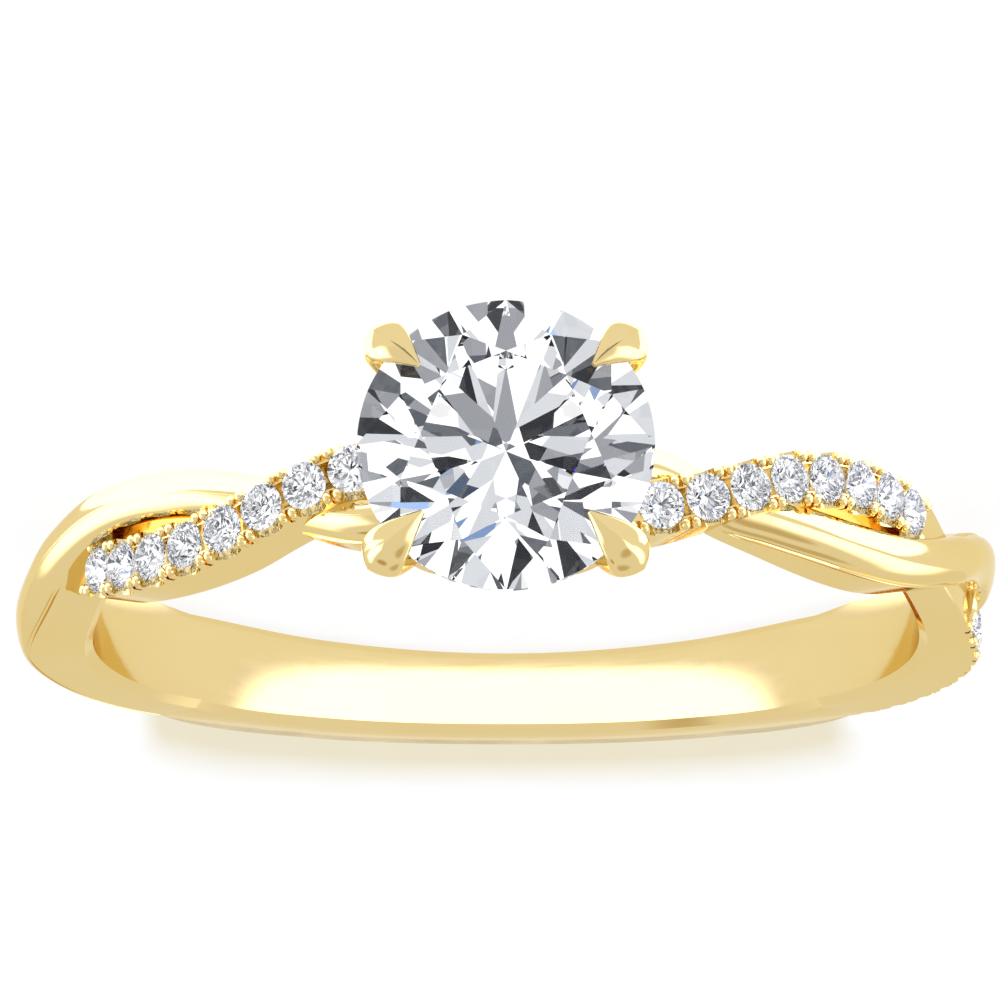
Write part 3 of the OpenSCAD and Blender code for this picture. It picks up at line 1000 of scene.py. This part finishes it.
def walls(height, turn):
    """The tent's level with a soft bright wall on each side."""
    level = TENT_LEVEL
    for wall in WALLS:
        off = math_node(sky, "ABSOLUTE", math_node(sky, "SUBTRACT", turn, float(wall[WALL_TURN])))
        edge = wall[WALL_SOFT] / 2
        wide = smooth_step(off, wall[WALL_HALF] + edge, wall[WALL_HALF] - edge)
        tall = smooth_step(height, WALL_END, WALL_FULL)
        level = math_node(sky, "MULTIPLY_ADD", math_node(sky, "MULTIPLY", wide, tall), wall[WALL_GLOW], level)
    return level


def dim_places():
    shade = 0.0
    for spot in DIM_SPOTS:
        turn, up = math.radians(spot[SPOT_TURN]), math.radians(spot[SPOT_UP])
        axis = (math.sin(turn) * math.cos(up), -math.cos(turn) * math.cos(up), math.sin(up))
        half, edge = spot[SPOT_HALF], spot[SPOT_SOFT] / 2
        inner, outer = math.cos(math.radians(half - edge)), math.cos(math.radians(half + edge))
        shade = math_node(sky, "MULTIPLY_ADD", smooth_step(along(axis), outer, inner), spot[SPOT_DARK], shade)
    return shade


def tent_for_gold():
    """Two bright soft walls and a few dim brown places. The brighter the tent is, the cooler its white."""
    height = math_node(sky, "MULTIPLY", math_node(sky, "ARCSINE", along((0, 0, 1))), 180 / math.pi)
    turn = math_node(sky, "ARCTAN2", along((1, 0, 0)), along((0, -1, 0)))
    level = walls(height, math_node(sky, "MULTIPLY", turn, 180 / math.pi))
    shade = dim_places()
    cool = math_node(sky, "MULTIPLY_ADD", level, COOL_GAIN, COOL_OFFSET)
    mixed = node(sky, "ShaderNodeCombineColor")
    for socket, value, kept in zip(mixed.inputs, (level, level, cool), BROWN):
        left = math_node(sky, "MULTIPLY_ADD", shade, kept - 1, 1.0)
        feed(sky, socket, math_node(sky, "MULTIPLY", value, left))
    return mixed.outputs[0]


print(len(WALLS), "bright walls and", len(DIM_SPOTS), "dim places")

# %% The tent as the stones see it
PATCHES = 4.2


def stepped(factor, *stops):
    made = ramp(sky, factor, *stops)
    made.node.color_ramp.interpolation = "CONSTANT"
    return made


def tent_for_stones():
    """Hard-edged patches of white, grey and black, and very few blue ones."""
    patches = node(sky, "ShaderNodeTexVoronoi")
    patches.inputs["Scale"].default_value = PATCHES
    feed(sky, patches.inputs["Vector"], direction)
    value = node(sky, "ShaderNodeSeparateColor")
    feed(sky, value.inputs[0], patches.outputs["Color"])
    greys = stepped(
        value.outputs[0],
        (0.0, (0.012, 0.014, 0.02)),
        (0.09, (0.1, 0.11, 0.13)),
        (0.2, (0.33, 0.34, 0.37)),
        (0.32, (0.7, 0.72, 0.75)),
        (0.46, (1.25, 1.25, 1.25)),
    )
    blues = stepped(
        value.outputs[1], (0.0, (1.0, 1.0, 1.0)), (0.972, (0.3, 0.45, 0.75)), (0.992, (0.03, 0.04, 0.8)))
    both = node(sky, "ShaderNodeMix", data_type="RGBA", blend_type="MULTIPLY")
    feed(sky, both.inputs[0], 1.0)
    feed(sky, both.inputs[6], greys)
    feed(sky, both.inputs[7], blues)
    return both.outputs[2]


# %% One brightness for each kind of ray
def choose(flag, yes, no):
    """yes for the rays that have the flag, no for the others."""
    made = node(sky, "ShaderNodeMix", data_type="RGBA")
    feed(sky, made.inputs[0], flag)
    feed(sky, made.inputs[6], no)
    feed(sky, made.inputs[7], yes)
    return made.outputs[2]


WHITE = (1, 1, 1, 1)
colour = choose(rays["Is Glossy Ray"], tent_for_gold(), WHITE)
colour = choose(rays["Is Transmission Ray"], tent_for_stones(), colour)
colour = choose(rays["Is Camera Ray"], WHITE, colour)
tent = node(sky, "ShaderNodeBackground")
feed(sky, tent.inputs["Color"], colour)
tent.inputs["Strength"].default_value = 1.0
feed(sky, node(sky, "ShaderNodeOutputWorld").inputs[0], tent.outputs[0])
print("the tent has", len(sky.nodes), "nodes")

# %% [markdown]
# ## The shadow
# A low lamp before the ring throws the soft shadow behind it. The lamp is cool, so the table is warm where
# its light is taken away. Only the back of the ring throws that shadow: that of the head and the front would
# fall inside the finger hole, where the table stays white. So a copy of the back alone blocks the light, and
# it shows nowhere else.

# %% A low front light
LAMP_HEIGHT = 12.6
LAMP_ENERGY = 39
LAMP_COLOUR = (0.4, 0.56, 1.0)
LAMP_ANGLE = 4.5
BACK_FROM = 0.0058
lamp = bpy.data.lights.new("front_light", "SUN")
lamp.energy = LAMP_ENERGY
lamp.color = LAMP_COLOUR
lamp.angle = math.radians(LAMP_ANGLE)
front_light = bpy.data.objects.new("front_light", lamp)
bpy.context.scene.collection.objects.link(front_light)
front_light.rotation_euler = (math.radians(90 - LAMP_HEIGHT), 0, 0)
front_light.visible_glossy = False
front_light.visible_transmission = False

# %% The back of the shank blocks it
back_form = bmesh.new()
back_form.from_mesh(shank.data)
front_faces = [f for f in back_form.faces if f.calc_center_median().y < BACK_FROM]
bmesh.ops.delete(back_form, geom=front_faces, context="FACES")
back_mesh = bpy.data.meshes.new("back_shade")
back_form.to_mesh(back_mesh)
back_form.free()
back_shade = bpy.data.objects.new("back_shade", back_mesh)
bpy.context.scene.collection.objects.link(back_shade)
for kind in ("camera", "diffuse", "glossy", "transmission"):
    setattr(back_shade, "visible_" + kind, False)
for piece in (head, centre, *melee):
    piece.visible_diffuse = False
    piece.visible_shadow = False
blockers = bpy.data.collections.new("blockers")
blockers.objects.link(back_shade)
front_light.light_linking.blocker_collection = blockers
print("front light at", LAMP_HEIGHT, "degrees above the table")

# %% [markdown]
# ## Camera
# The photograph was taken from the head's side with a long lens. The ring lies on its side, and the bottom of
# the picture is the ring's upper side. So the camera is above the table and rolled by half a turn. The middle
# of the finger hole falls a little right of and below the picture's middle.

# %% Camera
DISTANCE = 200.0
FOCAL = 10.0
SENSOR = 36
PICTURE = 1000
HOLE_AT = (6 / PICTURE, 100 / PICTURE)
LIFT = math.radians(90 - 76.66)
towards = Vector((0, -math.cos(LIFT), math.sin(LIFT)))
right = Vector((-1, 0, 0))
down = Vector((0, math.sin(LIFT), math.cos(LIFT)))
look = (-towards - HOLE_AT[0] / FOCAL * right - HOLE_AT[1] / FOCAL * down).normalized()
right = (right - look * right.dot(look)).normalized()
upwards = right.cross(look)
pose = Matrix((right, upwards, -look)).transposed().to_4x4()
pose.translation = towards * DISTANCE
pose = Matrix.Rotation(-REST_TILT, 4, "X") @ pose
pose.translation *= MM
camera_data = bpy.data.cameras.new("camera")
camera_data.sensor_width = SENSOR
camera_data.lens = SENSOR * FOCAL
camera_data.clip_start, camera_data.clip_end = 0.01, 5
camera = bpy.data.objects.new("camera", camera_data)
camera.matrix_world = pose
bpy.context.scene.collection.objects.link(camera)
bpy.context.scene.camera = camera
bpy.context.scene.view_settings.view_transform = "Standard"
print("camera", [round(1000 * x, 1) for x in pose.translation], "mm")

# %% [markdown]
# ## Light inside the stones
# A ray bounces many times inside a diamond before it comes out, so the renderer gets more bounces than usual.

# %% Bounces
cycles = bpy.context.scene.cycles
cycles.max_bounces = 16
cycles.glossy_bounces = 10
cycles.transmission_bounces = 14
print("up to", cycles.max_bounces, "bounces")
